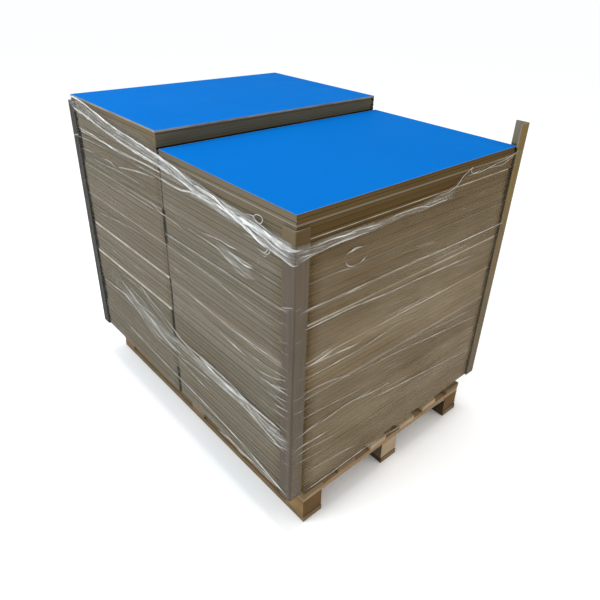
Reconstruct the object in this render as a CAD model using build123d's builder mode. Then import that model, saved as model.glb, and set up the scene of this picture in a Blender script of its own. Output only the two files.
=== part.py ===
import math
import os

from build123d import *

# A pallet of HDF boards in two stacks, held by corner posts and stretch film.
# Sizes are in millimetres. X runs along the short side and Y along the long side, towards the taller stack.
# The origin is on the floor, under the middle of the boards.

# HDF boards, laid flat with the blue face up
board_width = 940
board_length = 616
board_thickness = 6
board_gap = 0.35
seam_gap = 8
pack_board_count = 19
near_packs = 7
near_loose_boards = 11
far_packs = 8

# How far a pack and a single board sit off the line of their stack
pack_slip = 2.5
board_slip = 0.7
slip_turn = math.radians(137.5)

# Pallet
pallet_width = 800
pallet_length = 1200
deck_board_count = 6
deck_board_width = 78
deck_board_thickness = 20
cross_board_width = 90
cross_board_thickness = 20
block_width = 78
block_length = 80
block_height = 65
runner_width = block_width
runner_thickness = 20
block_rows = 3
block_setback = 3

# How far the deck boards sit off their places, lengthwise and sideways
deck_slip = 4
deck_slip_shares = [0, 0.8, 0.2, -0.3, 1, 0.4]
deck_shift = 12
deck_shift_shares = [0, 0.2, 0.6, 1, 0.1, 0]

# Where the load sits on the pallet: it hangs over one long side, and the deck stands past the film at one end
side_overhang = 44
deck_proud = 7

# Corner posts of pressed cardboard. Two of them lean outwards at the top, the left one along Y and the right
# one along X
post_leg = 46
post_thickness = 5
post_corner_radius = 4
post_lift = 2
post_clearance = 0.3
left_post_lean = 9
right_post_lean = 30

# How far each post's top is below the top of its stack. The right one stands above it
left_post_drop = 22
front_post_drop = 38
back_post_drop = 25
right_post_rise = 71

# Stretch film, and how far its upper edge is below the top of the stack at each corner
film_thickness = 0.5
film_lift = 6
film_clearance = 0.3
left_film_drop = 13
front_film_drop = 56
right_film_drop = 21
back_film_drop = 35
cut_overrun = 20

# The stacks, with their heights above the pallet's deck
board_pitch = board_thickness + board_gap
near_boards = near_packs * pack_board_count + near_loose_boards
far_boards = far_packs * pack_board_count
near_height = near_boards * board_pitch - board_gap
far_height = far_boards * board_pitch - board_gap

# The sides that meet at each corner, and what stands there
corners = {
    "left": {
        "x_side": -1,
        "y_side": 1,
        "height": far_height - left_post_drop,
        "lean_x": 0,
        "lean_y": left_post_lean,
        "film_height": far_height - left_film_drop,
    },
    "front": {
        "x_side": -1,
        "y_side": -1,
        "height": near_height - front_post_drop,
        "lean_x": 0,
        "lean_y": 0,
        "film_height": near_height - front_film_drop,
    },
    "right": {
        "x_side": 1,
        "y_side": -1,
        "height": near_height + right_post_rise,
        "lean_x": right_post_lean,
        "lean_y": 0,
        "film_height": near_height - right_film_drop,
    },
    "back": {
        "x_side": 1,
        "y_side": 1,
        "height": far_height - back_post_drop,
        "lean_x": 0,
        "lean_y": 0,
        "film_height": far_height - back_film_drop,
    },
}

# Levels above the floor
block_base = runner_thickness
cross_base = block_base + block_height
deck_base = cross_base + cross_board_thickness
load_base = deck_base + deck_board_thickness

# The load and what lies round it
largest_slip = pack_slip + board_slip
post_face = largest_slip + post_clearance
film_face = post_face + post_thickness + film_clearance
film_reach = film_face + film_thickness
half_width = board_width / 2
half_length = board_length + seam_gap / 2
far_middle = (board_length + seam_gap) / 2
near_middle = -far_middle
pallet_middle_x = side_overhang + (pallet_width - board_width) / 2
pallet_middle_y = pallet_length / 2 - half_length - film_reach - deck_proud

os.makedirs("parts", exist_ok=True)


def save(piece, name):
    piece.part.label = name
    export_step(piece.part, f"parts/{name}.step")


# Nothing lines up perfectly in a stack: each pack and board is pushed off its line, each by its own angle
def slip(number, reach):
    angle = number * slip_turn
    return reach * math.cos(angle), reach * math.sin(angle)


def board_sketch(stack_middle, pack_number, board_number):
    pack_x, pack_y = slip(pack_number, pack_slip)
    board_x, board_y = slip(board_number, board_slip)
    base = load_base + board_number * board_pitch
    with BuildSketch(Plane.XY.offset(base)) as outline:
        with Locations((pack_x + board_x, stack_middle + pack_y + board_y)):
            Rectangle(board_width, board_length)
    return outline.sketch


def build_pack(name, stack_middle, pack_number, board_numbers):
    with BuildPart() as pack:
        for board_number in board_numbers:
            extrude(board_sketch(stack_middle, pack_number, board_number), amount=board_thickness)
    save(pack, name)


# A stack is its full packs, then a shorter pack of loose boards, with the top board as a piece of its own
def build_stack(name, stack_middle, pack_count, board_count, first_slip):
    top_number = board_count - 1
    for pack_number in range(pack_count):
        first = pack_number * pack_board_count
        last = min(first + pack_board_count, top_number)
        build_pack(f"{name}_pack_{pack_number + 1}", stack_middle, first_slip + pack_number, range(first, last))
    build_pack(f"{name}_top_board", stack_middle, first_slip + pack_count - 1, [top_number])


build_stack("near", near_middle, near_packs + 1, near_boards, 0)
build_stack("far", far_middle, far_packs, far_boards, near_packs)


# A board or block of the pallet, sawn square
def build_timber(name, middle_x, middle_y, base, width, length, height):
    with BuildPart() as timber:
        with BuildSketch(Plane.XY.offset(base)):
            with Locations((middle_x, middle_y)):
                Rectangle(width, length)
        extrude(amount=height)
    save(timber, name)


# Places of equal pieces whose outer edges line up with the ends of a span
def spread(middle, span, size, count):
    pitch = (span - size) / (count - 1)
    return [middle + (number - (count - 1) / 2) * pitch for number in range(count)]


deck_middles = spread(pallet_middle_x, pallet_width, deck_board_width, deck_board_count)
for number, middle_x in enumerate(deck_middles):
    build_timber(
        f"deck_board_{number + 1}",
        middle_x + deck_shift * deck_shift_shares[number],
        pallet_middle_y + deck_slip * deck_slip_shares[number],
        deck_base,
        deck_board_width,
        pallet_length,
        deck_board_thickness,
    )

cross_middles = spread(pallet_middle_y, pallet_length - 2 * block_setback, cross_board_width, block_rows)
for number, middle_y in enumerate(cross_middles):
    build_timber(
        f"cross_board_{number + 1}",
        pallet_middle_x,
        middle_y,
        cross_base,
        pallet_width,
        cross_board_width,
        cross_board_thickness,
    )

row_middles = spread(pallet_middle_x, pallet_width, block_width, block_rows)
block_middles = spread(pallet_middle_y, pallet_length - 2 * block_setback, block_length, block_rows)
for row, middle_x in enumerate(row_middles):
    build_timber(
        f"runner_{row + 1}", middle_x, pallet_middle_y, 0, runner_width, pallet_length, runner_thickness
    )
    for place, middle_y in enumerate(block_middles):
        build_timber(
            f"block_{row * block_rows + place + 1}",
            middle_x,
            middle_y,
            block_base,
            block_width,
            block_length,
            block_height,
        )


# How far a corner's post has leaned out at a height above the deck, as shares of its whole lean
def lean_share(corner, height):
    return (height - post_lift) / (corner["height"] - post_lift)


# A point of the load's plan near a corner, this far outside the boards and leaning with the post there
def corner_point(corner, height, reach_x, reach_y):
    share = lean_share(corner, height)
    return (
        corner["x_side"] * (half_width + reach_x) + share * corner["lean_x"],
        corner["y_side"] * (half_length + reach_y) + share * corner["lean_y"],
    )


# The plan of a corner post: an angle with its inner faces along the boards, and a rounded outer edge
def post_sketch(corner, height):
    inner = post_face
    outer = post_face + post_thickness
    tip = outer - post_leg
    with BuildSketch(Plane.XY.offset(load_base + height)) as plan:
        with BuildLine():
            Polyline(
                corner_point(corner, height, outer, outer),
                corner_point(corner, height, tip, outer),
                corner_point(corner, height, tip, inner),
                corner_point(corner, height, inner, inner),
                corner_point(corner, height, inner, tip),
                corner_point(corner, height, outer, tip),
                close=True,
            )
        make_face()
        outer_edge = plan.vertices().sort_by_distance(corner_point(corner, height, outer, outer))[0]
        fillet(outer_edge, post_corner_radius)
    return plan.sketch


for name, corner in corners.items():
    with BuildPart() as post:
        loft([post_sketch(corner, post_lift), post_sketch(corner, corner["height"])], ruled=True)
    save(post, f"{name}_post")


# The film's plan at a height: it lies round each post's legs and runs straight from post to post
def film_sketch(height, reach):
    tip = post_face + post_thickness - post_leg
    points = []
    for corner in corners.values():
        turn = [
            corner_point(corner, height, tip, reach),
            corner_point(corner, height, reach, reach),
            corner_point(corner, height, reach, tip),
        ]
        points += turn if corner["x_side"] != corner["y_side"] else reversed(turn)
    with BuildSketch(Plane.XY.offset(load_base + height)) as plan:
        with BuildLine():
            Polyline(*points, close=True)
        make_face()
    return plan.sketch


film_edge = {name: corner["film_height"] for name, corner in corners.items()}
film_top = max(film_edge.values())
cut_reach = film_reach + max(left_post_lean, right_post_lean) + cut_overrun


# What lies above the film's sloping edge along one side. The side's plane looks outwards, and half_span is half
# of the side's length
def above_edge(side, half_span, start_height, end_height):
    slope = (end_height - start_height) / (2 * half_span)
    reach = half_span + cut_overrun
    middle_height = load_base + (start_height + end_height) / 2
    ceiling = load_base + film_top + cut_overrun
    with BuildSketch(side) as outline:
        with BuildLine():
            Polyline(
                (-reach, middle_height - slope * reach),
                (reach, middle_height + slope * reach),
                (reach, ceiling),
                (-reach, ceiling),
                close=True,
            )
        make_face()
    return extrude(outline.sketch, amount=cut_reach, mode=Mode.PRIVATE)


near_side = Plane(origin=(0, -half_length, 0), x_dir=(1, 0, 0), z_dir=(0, -1, 0))
right_side = Plane(origin=(half_width, 0, 0), x_dir=(0, 1, 0), z_dir=(1, 0, 0))
far_side = Plane(origin=(0, half_length, 0), x_dir=(-1, 0, 0), z_dir=(0, 1, 0))
left_side = Plane(origin=(-half_width, 0, 0), x_dir=(0, -1, 0), z_dir=(-1, 0, 0))
with BuildPart() as film:
    loft([film_sketch(film_lift, film_reach), film_sketch(film_top, film_reach)], ruled=True)
    loft([film_sketch(film_lift, film_face), film_sketch(film_top, film_face)], ruled=True, mode=Mode.SUBTRACT)
    add(above_edge(near_side, half_width, film_edge["front"], film_edge["right"]), mode=Mode.SUBTRACT)
    add(above_edge(right_side, half_length, film_edge["right"], film_edge["back"]), mode=Mode.SUBTRACT)
    add(above_edge(far_side, half_width, film_edge["back"], film_edge["left"]), mode=Mode.SUBTRACT)
    add(above_edge(left_side, half_length, film_edge["left"], film_edge["front"]), mode=Mode.SUBTRACT)
save(film, "stretch_film")
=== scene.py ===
import math
import random

import bpy
import numpy as np
from mathutils import Matrix, Vector


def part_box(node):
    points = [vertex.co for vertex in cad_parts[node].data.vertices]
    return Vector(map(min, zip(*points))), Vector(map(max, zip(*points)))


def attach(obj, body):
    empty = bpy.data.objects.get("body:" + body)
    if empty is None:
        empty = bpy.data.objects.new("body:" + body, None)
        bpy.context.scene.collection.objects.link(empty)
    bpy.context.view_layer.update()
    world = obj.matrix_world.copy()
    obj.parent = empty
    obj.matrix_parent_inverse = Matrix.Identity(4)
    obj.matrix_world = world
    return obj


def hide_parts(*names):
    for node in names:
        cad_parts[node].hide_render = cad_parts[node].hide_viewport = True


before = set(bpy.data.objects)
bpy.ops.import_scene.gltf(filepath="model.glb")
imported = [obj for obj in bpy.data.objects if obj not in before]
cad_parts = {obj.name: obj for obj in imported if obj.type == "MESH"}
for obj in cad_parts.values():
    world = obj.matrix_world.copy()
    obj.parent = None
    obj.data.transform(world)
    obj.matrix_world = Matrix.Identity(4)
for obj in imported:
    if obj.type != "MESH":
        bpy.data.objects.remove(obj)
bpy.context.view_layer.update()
print("frame loaded:", len(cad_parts), "nodes")

# The load in numbers, in metres, as the frame has it
load = {
    "halfWidth": 0.470,          # boards, along X
    "halfLength": 0.620,         # both stacks, along Y
    "deckTop": 0.125,            # underside of the lowest board
    "pitch": 0.00635,            # one board and the gap over it
    "packBoards": 19,
    "leftLean": 0.009,           # left post leans along +Y
    "rightLean": 0.030,          # right post leans along +X
    "postHeights": {"left": 0.94285, "right": 0.98505},    # above the deck
}


def deselectAll():
    if bpy.context.object and bpy.context.object.mode != "OBJECT":
        bpy.ops.object.mode_set(mode="OBJECT")
    bpy.ops.object.select_all(action="DESELECT")


class Value:
    # what a node puts out, so that sums in a material can be written as sums
    def __init__(self, tree, socket):
        self.tree = tree
        self.socket = socket

    def math(self, operation, *others, clamp=False):
        return addNode(self.tree, "ShaderNodeMath", (self, *others), operation=operation, use_clamp=clamp)[0]

    def span(self, fromLow, fromHigh, toLow=0.0, toHigh=1.0):
        inputs = (self, fromLow, fromHigh, toLow, toHigh)
        return addNode(self.tree, "ShaderNodeMapRange", inputs, clamp=True)[0]

    def above(self, limit):
        return self.math("GREATER_THAN", limit)

    def below(self, limit):
        return self.math("LESS_THAN", limit)

    def __abs__(self):
        return self.math("ABSOLUTE")

    def __add__(self, other):
        return self.math("ADD", other)

    def __sub__(self, other):
        return self.math("SUBTRACT", other)

    def __rsub__(self, other):
        return addNode(self.tree, "ShaderNodeMath", (other, self), operation="SUBTRACT")[0]

    def __mul__(self, other):
        return self.math("MULTIPLY", other)

    def __truediv__(self, other):
        return self.math("DIVIDE", other)

    __radd__ = __add__


class Outputs:
    # a node's values, by number or name
    def __init__(self, tree, sockets):
        self.tree = tree
        self.sockets = sockets

    def __getitem__(self, key):
        return Value(self.tree, self.sockets[key])


def plug(node, inputs):
    for key, value in inputs.items():
        if isinstance(value, Value):
            value.tree.links.new(value.socket, node.inputs[key])
        else:
            node.inputs[key].default_value = value


def addNode(tree, kind, inputs=(), **settings):
    node = tree.nodes.new(kind)
    for key, value in settings.items():
        setattr(node, key, value)
    plug(node, inputs if isinstance(inputs, dict) else dict(enumerate(inputs)))
    return Outputs(tree, node.outputs)


def split(vector):
    return addNode(vector.tree, "ShaderNodeSeparateXYZ", (vector,))


def coords(tree, kind="Object"):
    return addNode(tree, "ShaderNodeTexCoord")[kind]


def normals(tree):
    return split(addNode(tree, "ShaderNodeNewGeometry")["Normal"])


def attribute(tree, name):
    return addNode(tree, "ShaderNodeAttribute", attribute_name=name)["Fac"]


def stretched(vector, scale, turn=(0, 0, 0), move=(0, 0, 0)):
    inputs = {"Vector": vector, "Scale": scale, "Rotation": turn, "Location": move}
    return addNode(vector.tree, "ShaderNodeMapping", inputs)[0]


def noise(vector, scale, detail, rough):
    if isinstance(scale, tuple):
        vector, scale = stretched(vector, scale), 1.0
    inputs = {"Vector": vector, "Scale": scale, "Detail": detail, "Roughness": rough}
    return addNode(vector.tree, "ShaderNodeTexNoise", inputs)[0]


def mixed(factor, first, second, blend="MIX"):
    # two colours, each three numbers or a value
    tree = next(value.tree for value in (factor, first, second) if isinstance(value, Value))
    first, second = (value if isinstance(value, Value) else (*value, 1) for value in (first, second))
    inputs = {0: factor, 6: first, 7: second}
    return addNode(tree, "ShaderNodeMix", inputs, data_type="RGBA", blend_type=blend)[2]


def shaded(colour, by):
    return mixed(1.0, colour, by, "MULTIPLY")


def between(factor, first, second):
    return addNode(factor.tree, "ShaderNodeMix", {0: factor, 2: first, 3: second}, data_type="FLOAT")[0]


def ramp(value, stops, interpolation="LINEAR"):
    # each stop is a place and a colour, or a place and one number
    node = value.tree.nodes.new("ShaderNodeValToRGB")
    plug(node, {0: value})
    node.color_ramp.interpolation = interpolation
    while len(node.color_ramp.elements) < len(stops):
        node.color_ramp.elements.new(0.5)
    for element, (place, colour) in zip(node.color_ramp.elements, stops):
        element.position = place
        element.color = (*colour, 1) if isinstance(colour, tuple) else (colour, colour, colour, 1)
    return Value(value.tree, node.outputs[0])


def bump(height, strength, distance):
    inputs = {"Height": height, "Strength": strength, "Distance": distance}
    return addNode(height.tree, "ShaderNodeBump", inputs)[0]


def newMaterial(name):
    material = bpy.data.materials.new(name)
    material.use_nodes = True
    return material, material.node_tree, material.node_tree.nodes["Principled BSDF"]


def newGroup(name, numbers, outputs):
    # every group reads a vector, and the numbers that it is given
    tree = bpy.data.node_groups.new(name, "ShaderNodeTree")
    tree.interface.new_socket("Vector", in_out="INPUT", socket_type="NodeSocketVector")
    for label, start in numbers.items():
        socket = tree.interface.new_socket(label, in_out="INPUT", socket_type="NodeSocketFloat")
        socket.default_value = start
    for label in outputs:
        kind = "NodeSocketColor" if label == "Colour" else "NodeSocketFloat"
        tree.interface.new_socket(label, in_out="OUTPUT", socket_type=kind)
    return tree, addNode(tree, "NodeGroupInput"), tree.nodes.new("NodeGroupOutput")


def useGroup(group, vector, **numbers):
    return addNode(vector.tree, "ShaderNodeGroup", {"Vector": vector, **numbers}, node_tree=group)


# Where the photo was taken from
camera = {
    "place": (-1.2202, -1.4734, 1.5187),
    "heading": 43.518,           # degrees from +Y towards +X
    "down": 27.953,
    "roll": 2.431,
    "lens": 33.447,
    "shift": (-0.0236, -0.0587),
}


def setCamera():
    deselectAll()
    turn = (
        Matrix.Rotation(math.radians(-camera["heading"]), 4, "Z")
        @ Matrix.Rotation(math.radians(90 - camera["down"]), 4, "X")
        @ Matrix.Rotation(math.radians(camera["roll"]), 4, "Z")
    )
    bpy.ops.object.camera_add(location=camera["place"], rotation=turn.to_euler())
    cam = bpy.context.object
    cam.name = "camera"
    cam.data.lens = camera["lens"]
    cam.data.sensor_width = 36
    cam.data.shift_x, cam.data.shift_y = camera["shift"]
    bpy.context.scene.camera = cam


studio = {
    "floorSize": 200.0,
    "floorColour": (0.958, 0.967, 0.985, 1),
    # the floor glows a little as painted light, least near the pallet, which paints a contact shadow round
    # it: (metres from the pallet, strength)
    "floorGlow": [(0.0, 0.04), (0.015, 0.17), (0.045, 0.29), (0.10, 0.35), (0.40, 0.33), (1.2, 0.19)],
    "palletMiddle": (-0.056, -0.036, 0),
    "palletHalf": (0.43, 0.60, 0),
    "skyColour": (0.975, 0.99, 1.0, 1),
    "skyStrength": 0.84,
    "aim": (0, 0, 0.55),
    "lamps": {                   # place, size, power and colour
        "keyLight": ((-3.2, 0.85, 3.45), 2.4, 95, (0.88, 0.96, 1.0)),
        "fillLight": ((2.0, -4.0, 2.2), 3.0, 26, (1.0, 0.80, 0.48)),
    },
}


def floorMaterial():
    material, tree, shader = newMaterial("floorPaint")
    place = coords(tree)
    middle, half = studio["palletMiddle"], studio["palletHalf"]
    for operation, *by in (("SUBTRACT", middle), ("ABSOLUTE",), ("SUBTRACT", half), ("MAXIMUM", (0, 0, 0))):
        place = addNode(tree, "ShaderNodeVectorMath", (place, *by), operation=operation)[0]
    away = addNode(tree, "ShaderNodeVectorMath", (place,), operation="LENGTH")["Value"]
    # the floor's painted glow, dimmed near the pallet into a painted contact shadow
    reach = studio["floorGlow"][-1][0]
    paintedGlow = ramp(away / reach, [(far / reach, strength) for far, strength in studio["floorGlow"]])
    plug(shader, {
        "Base Color": studio["floorColour"],
        "Roughness": 0.9,
        "Specular IOR Level": 0.0,
        "Emission Color": (1, 1, 1, 1),
        "Emission Strength": paintedGlow,
    })
    return material


def setStudio():
    deselectAll()
    bpy.ops.mesh.primitive_plane_add(size=studio["floorSize"], location=(0, 0, 0))
    floor = bpy.context.object
    floor.name = "floor"
    floor.data.materials.append(floorMaterial())
    world = bpy.data.worlds.new("studioWorld")
    world.use_nodes = True
    sky = {"Color": studio["skyColour"], "Strength": studio["skyStrength"]}
    plug(world.node_tree.nodes["Background"], sky)
    bpy.context.scene.world = world
    for name, (place, size, power, colour) in studio["lamps"].items():
        bpy.ops.object.light_add(type="AREA", location=place)
        lamp = bpy.context.object
        lamp.name = name
        lamp.data.shape = "DISK"
        lamp.data.size = size
        lamp.data.energy = power
        lamp.data.color = colour
        aim = Vector(studio["aim"]) - Vector(place)
        lamp.rotation_euler = aim.to_track_quat("-Z", "Y").to_euler()
    bpy.context.scene.view_settings.view_transform = "Standard"
    bpy.context.scene.view_settings.look = "None"


setCamera()
setStudio()
print("camera, floor and light set")

# Long thin streaks that run along the first axis of the vector
streakGroup, inner, out = newGroup(
    "thinStreaks", {"Along": 2.0, "Across": 200.0, "From": 0.55, "To": 0.7}, ("Mask", "Height")
)
stretch = addNode(streakGroup, "ShaderNodeCombineXYZ", (inner["Along"], inner["Across"], inner["Across"]))[0]
scaled = addNode(streakGroup, "ShaderNodeVectorMath", (inner["Vector"], stretch), operation="MULTIPLY")[0]
streaks = noise(scaled, 1.0, 1.5, 0.5)
plug(out, {"Mask": streaks.span(inner["From"], inner["To"]), "Height": streaks})

# Rubbed and dusty places, large and small
wearGroup, inner, out = newGroup("wearAndDust", {"Size": 6.0, "Amount": 0.5}, ("Wear", "Dust"))
large = noise(inner["Vector"], inner["Size"], 5.0, 0.65)
small = noise(inner["Vector"], inner["Size"] * 11.0, 2.0, 0.6)
edge = 0.72 - inner["Amount"] * 0.3
worn = (large * 0.6 + small * 0.4).span(edge, edge + 0.10)
plug(out, {"Wear": worn, "Dust": large.span(0.35, 0.75)})

# Pine with its grain along the first axis of the vector; rings show on the ends
grainGroup, inner, out = newGroup("pineGrain", {"Rings": 130.0}, ("Grain", "Fibre", "Knot"))
place = inner["Vector"]
lengthwise = {"Vector": stretched(place, (1.6, 14, 14)), "Scale": 1.0, "Detail": 2.0}
bend = stretched(addNode(grainGroup, "ShaderNodeTexNoise", lengthwise)[1], (0.02, 0.035, 0.035))
moved = addNode(grainGroup, "ShaderNodeVectorMath", (place, bend), operation="ADD")[0]
wave = {"Vector": stretched(moved, (0.25, 1, 1)), "Scale": inner["Rings"], "Distortion": 1.5, "Detail": 2.0}
knots = {"Vector": stretched(place, (3.2, 9, 9)), "Scale": 1.0}
plug(out, {
    "Grain": addNode(grainGroup, "ShaderNodeTexWave", wave, wave_type="RINGS", rings_direction="X")[1],
    "Fibre": noise(place, (12, 420, 420), 3.0, 0.6),
    "Knot": addNode(grainGroup, "ShaderNodeTexVoronoi", knots)[0].span(0.06, 0.16, 1.0, 0.0),
})

# The boards' cut sides and coated faces
hdf = {
    "dark": (0.050, 0.032, 0.014),
    "middle": (0.098, 0.068, 0.032),
    "light": (0.175, 0.132, 0.075),
    "tones": (0.34, 1.11),                           # the tones that come out dark and light
    "shares": (0.13, 0.42, 0.40, 0.34, 0.17, 0.03),  # of board, pack, group, drift, fibres and specks in them
    "warm": (1.16, 0.95, 0.78),                      # shade of the warmer boards
    "evenX": 0.50,                                   # how much more even the sides that face along X are
    "joint": (0.045, 0.032, 0.020),
    "crevice": (0.006, 0.005, 0.004),
    "seam": (0.008, 0.006, 0.004),                   # painted shade in the narrow gap between the stacks
    "line": (0.64, 0.60, 0.52),                      # the pale edge between two packs: partly its own tone, partly a painted highlight of the film over it
    "back": (0.42, 0.36, 0.26),
    "blue": ((0.0026, 0.164, 0.590), (0.0034, 0.178, 0.625)),
    "rubbed": (0.25, 0.42, 0.70),                    # where the blue is worn
    "rim": (0.30, 0.42, 0.56),                       # the thin pale line round it
    "ledge": (0.55, 0.55, 0.55),                     # ledges catch more light, so they are painted duller
    "nearLines": (0.1, 0.45, 0.45, 0.42, 0.6, 0.1, 0.9, 0.0),    # strength over each pack, lowest first
    "farLines": (0.15, 0.8, 1.0, 1.0, 1.0, 0.2, 0.9, 0.3),
    "nearTones": (0.42, 0.72, 0.22, 0.88, 0.48, 0.40, 0.46, 0.48),      # how light each pack is, lowest first
    "farTones": (0.45, 0.40, 0.20, 0.62, 0.42, 0.62, 0.22, 0.52),
    "paleBoard": 139,                                # one light board near the top of the near stack
    "sideX": (1.46, 1.70, 2.44),                     # paler, cooler shade of the sides that face along X: partly their own tone, partly painted light
    # warmer, darker shade of the sides that face along Y: partly their own tone, partly painted light
    "sideY": (0.96, 0.89, 0.77),
    "step": (1.05, 1.36, 1.85),                      # and of the step between the stacks, cooled by a painted bounce of light off the blue top
    "stepAbove": 1.040,
    "gapWidth": 0.0062,                              # width of the painted shade in the crevice beside the left and right posts
    "leftGap": (0.5825, 0.0095),                     # where it starts, and how far it leans a metre up
    "rightGap": (0.4325, 0.0305),
}


def perPack(pack, values):
    # one value for each pack of a stack, lowest first
    stops = [(i / len(values), value) for i, value in enumerate(values)]
    return ramp((pack + 0.5) / len(values), stops, "CONSTANT")


def whichBoard(y, z):
    # how many boards up from the deck, the board and the pack, and 1 in the far stack
    level = (z - load["deckTop"]) / load["pitch"]
    board = level.math("FLOOR")
    return level, board, (board / load["packBoards"]).math("FLOOR"), y.above(0.0)


# The boards' bare cut sides, board by board; the top of the front post wears them too
sideGroup, inner, out = newGroup("boardSides", {}, ("Colour", "Fine"))
place = inner["Vector"]
_, y, z = split(place)
level, board, pack, isFar = whichBoard(y, z)
counted = board + isFar * 311.0
boardTone = addNode(sideGroup, "ShaderNodeTexWhiteNoise", {"W": counted}, noise_dimensions="1D")[0]
packTone = mixed(isFar, perPack(pack, hdf["nearTones"]), perPack(pack, hdf["farTones"]))
slow = {"W": counted, "Scale": 0.21, "Detail": 2.0, "Roughness": 0.6}
groupTone = addNode(sideGroup, "ShaderNodeTexNoise", slow, noise_dimensions="1D")[0]
drift = noise(place, (1.6, 1.6, 9), 3.0, 0.6)
fibres = noise(place, (6, 6, 330), 2.5, 0.6)
specks = noise(place, 300.0, 1.0, 0.5)
parts = (boardTone, packTone, groupTone, drift, fibres, specks)
first, *others = (part * share for part, share in zip(parts, hdf["shares"]))
tone = sum(others, first).span(*hdf["tones"])
side = ramp(tone, [(0.0, hdf["dark"]), (0.5, hdf["middle"]), (1.0, hdf["light"])])
# some boards are warmer
side = shaded(side, mixed(boardTone.span(0.86, 0.99), (1, 1, 1), hdf["warm"]))
# sides that face along X are more even than those along Y; the paler, greyer shade of the X sides and the
# warmer one of the Y sides are partly their own tone and partly painted light, and the step's cool tint is a
# painted bounce of light off the blue top
alongX = abs(normals(sideGroup)[0]).span(0.3, 0.7)
side = mixed(alongX * hdf["evenX"], side, hdf["middle"])
inStep = abs(y).below(0.02) * z.above(hdf["stepAbove"])
side = shaded(side, mixed(alongX, mixed(inStep, hdf["sideY"], hdf["step"]), hdf["sideX"]))
# the dark joint between boards
within = level.math("FRACT")
joint = within.span(0.0, 0.05, 1.0, 0.0).math("ADD", within.span(0.88, 0.95), clamp=True)
side = mixed(joint * 0.12, side, hdf["joint"])
plug(out, {"Colour": side, "Fine": fibres * 0.85 + specks * 0.10})


def blueFace(place, cloud, topNode):
    # the coated face, with a thin pale line round its edge, chipped in places
    x, y, _ = split(place)
    low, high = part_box(topNode)
    middle, half = (low + high) / 2, (high - low) / 2
    wear = useGroup(wearGroup, place, Size=3.0, Amount=0.15)
    blue = mixed(wear["Wear"] * 0.10, mixed(cloud.span(0.3, 0.7), *hdf["blue"]), hdf["rubbed"])
    fromX, fromY = half.x - abs(x - middle.x), half.y - abs(y - middle.y)
    rim = fromX.math("MINIMUM", fromY).span(0.0006, 0.0022, 1.0, 0.0)
    chipped = noise(place, 90.0, 3.0, 0.7).span(0.40, 0.60, 0.4, 1.0)
    return mixed(rim * (chipped * 0.6), blue, hdf["rim"])


def boardMaterial(name, topNode=None):
    material, tree, shader = newMaterial(name)
    place = coords(tree)
    x, y, z = split(place)
    _, board, pack, isFar = whichBoard(y, z)
    facing = normals(tree)
    bare = useGroup(sideGroup, place)
    # pale line at the top board of a pack, partly a painted highlight, and one light board
    nearLine = perPack(pack, hdf["nearLines"]) * (1.0 - abs(facing[0]).span(0.3, 0.7) * 0.80)
    strength = mixed(isFar, nearLine, perPack(pack, hdf["farLines"]))
    inPack = ((board + 0.5) / load["packBoards"]).math("FRACT")
    lastBoard = inPack.above(1 - 1 / load["packBoards"])
    broken = noise(place, (9, 9, 3), 3.0, 0.6).span(0.32, 0.62, 0.35, 1.0)
    lightBoard = board.math("COMPARE", hdf["paleBoard"], 0.5) * (1.0 - isFar)
    pale = (lastBoard * strength * broken).math("MAXIMUM", lightBoard * 0.20)
    # a painted highlight: pale boards are lighter still where they stand out next to the other stack
    nearSeam = abs(y).span(0.012, 0.030, 1.0, 0.0)
    side = mixed(pale.math("MULTIPLY", nearSeam * 0.5 + 0.85, clamp=True), bare["Colour"], hdf["line"])
    # painted shade in the crevices beside the posts' legs, deeper at some boards than at others
    deep = noise(place, (3, 3, 62), 2.0, 0.7).span(0.40, 0.56, 0.15, 1.0)
    shadows = []
    for along, face, (start, lean) in ((y, facing[0], hdf["leftGap"]), (x, facing[1], hdf["rightGap"])):
        inside = (z - load["deckTop"]) * lean + start - along
        strip = inside.span(hdf["gapWidth"], hdf["gapWidth"] + 0.002, 1.0, 0.0)
        shadows.append(strip * face.span(-0.5, -0.7) * deep)
    side = mixed(shadows[0].math("MAXIMUM", shadows[1]), side, hdf["crevice"])
    # painted shade darkens the narrow gap between the stacks
    uneven = noise(place, (3, 3, 34), 2.0, 0.7).span(0.36, 0.52, 0.55, 1.0)
    belowStep = z.span(hdf["stepAbove"], hdf["stepAbove"] + 0.002, 1.0, 0.0)
    side = mixed(abs(y).span(0.0056, 0.0068, 1.0, 0.0) * uneven * belowStep, side, hdf["seam"])
    cloud = noise(place, 2.2, 3.0, 0.6)
    if topNode:
        upper = blueFace(place, cloud, topNode)
    else:
        # boards stand a little out of line: their ledges are dull, but for some pale top boards
        shown = lastBoard * strength * isFar.span(0.0, 1.0, 0.35, 1.0)
        upper = mixed(shown, shaded(side, hdf["ledge"]), mixed(cloud, hdf["line"], hdf["back"]))
    isTop, isBack = facing[2].above(0.6), facing[2].below(-0.6)
    height = between(isTop, bare["Fine"], noise(place, 500.0, 1.0, 0.5) * 0.06)
    plug(shader, {
        "Base Color": mixed(isBack, mixed(isTop, side, upper), hdf["back"]),
        "Roughness": between(isTop, 0.86, noise(place, 9.0, 4.0, 0.6).span(0.3, 0.7, 0.34, 0.46)),
        "Specular IOR Level": 0.0008,
        "Normal": bump(height, 0.22, 0.0006),
    })
    return material


def dress(nodeName, material):
    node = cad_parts[nodeName]
    node.data.materials.clear()
    node.data.materials.append(material)


packFinish = boardMaterial("hdfPacks")
for nodeName in sorted(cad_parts):
    if "_pack_" in nodeName:
        dress(nodeName, packFinish)
dress("near_top_board", boardMaterial("blueTopNear", "near_top_board"))
dress("far_top_board", boardMaterial("blueTopFar", "far_top_board"))
print("boards dressed")

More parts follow.
